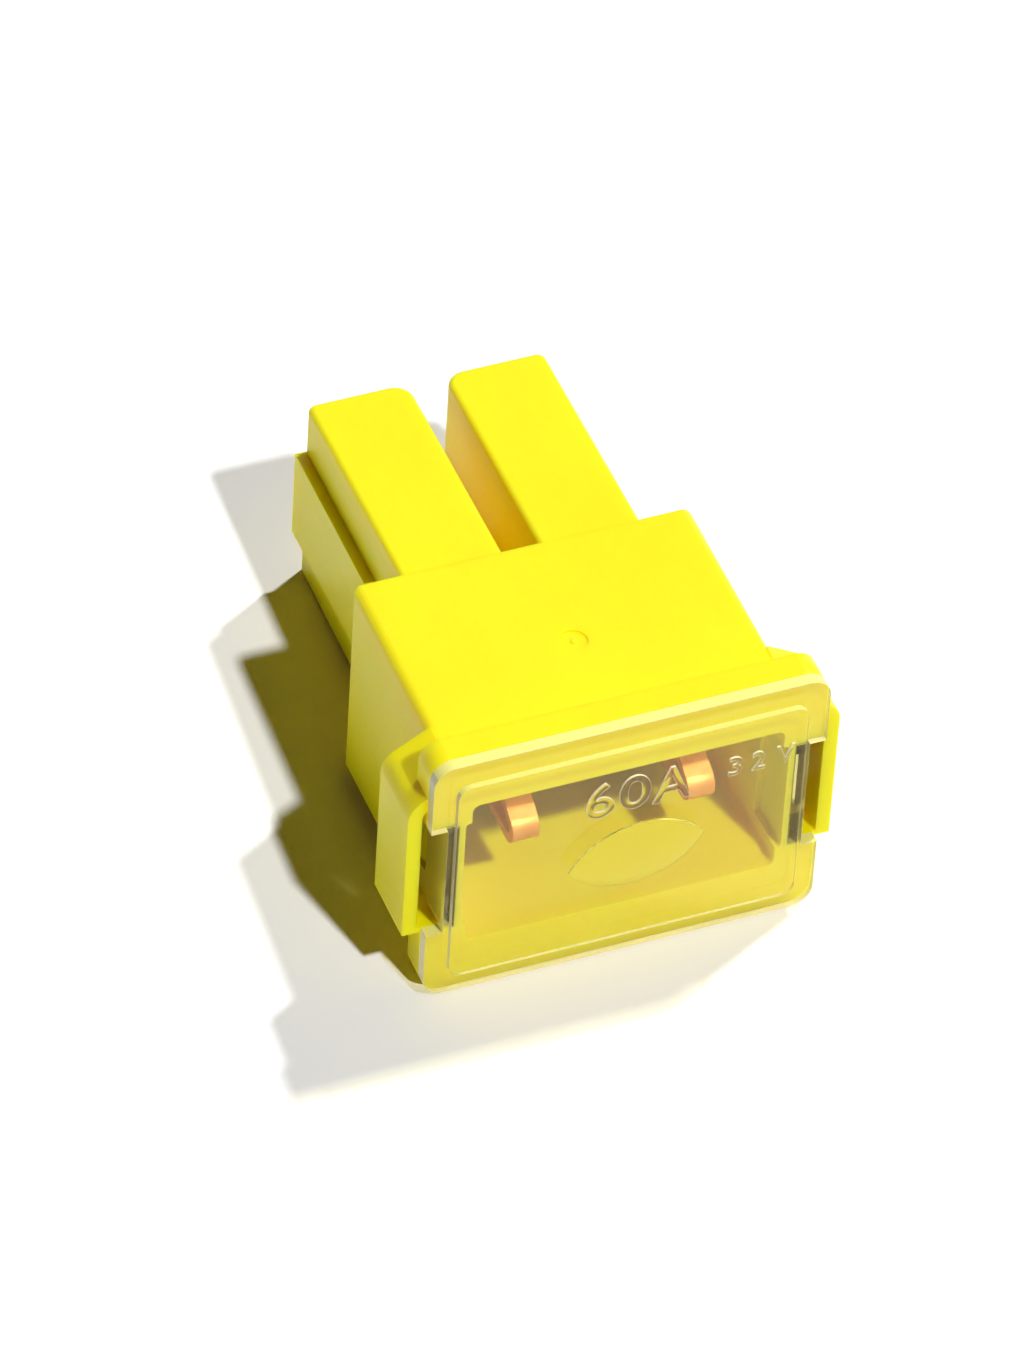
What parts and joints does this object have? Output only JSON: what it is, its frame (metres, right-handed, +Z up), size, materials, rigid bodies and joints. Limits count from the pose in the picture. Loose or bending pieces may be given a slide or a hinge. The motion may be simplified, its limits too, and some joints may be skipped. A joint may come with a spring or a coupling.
{
  "type": "slow-blow fuse with female terminals",
  "caption": "Plug-in slow-blow fuse with a moulded yellow housing, a clear clipped-on window cover and a hollow leg on each side that takes a flat blade.",
  "frame": {"origin": "on the table surface, under the centre of the fuse's box as it lies at rest", "axes": "+X across the two legs, +Y from the window cover towards the leg tips, +Z up"},
  "size_m": [0.0218, 0.0286, 0.0152],
  "materials": {
    "yellow_plastic": "slightly translucent moulded yellow",
    "clear_plastic": "clear moulded plastic",
    "copper_alloy": "bare stamped copper alloy",
    "tin": "dull cast tin",
    "spring_steel": "bright rolled strip"
  },
  "bodies": {
    "root": {"housing": "yellow_plastic", "cover": "clear_plastic", "fuse_element": "copper_alloy", "tin_bead": "tin", "contact_spring_left": "spring_steel", "contact_spring_right": "spring_steel"}
  },
  "joints": []
}
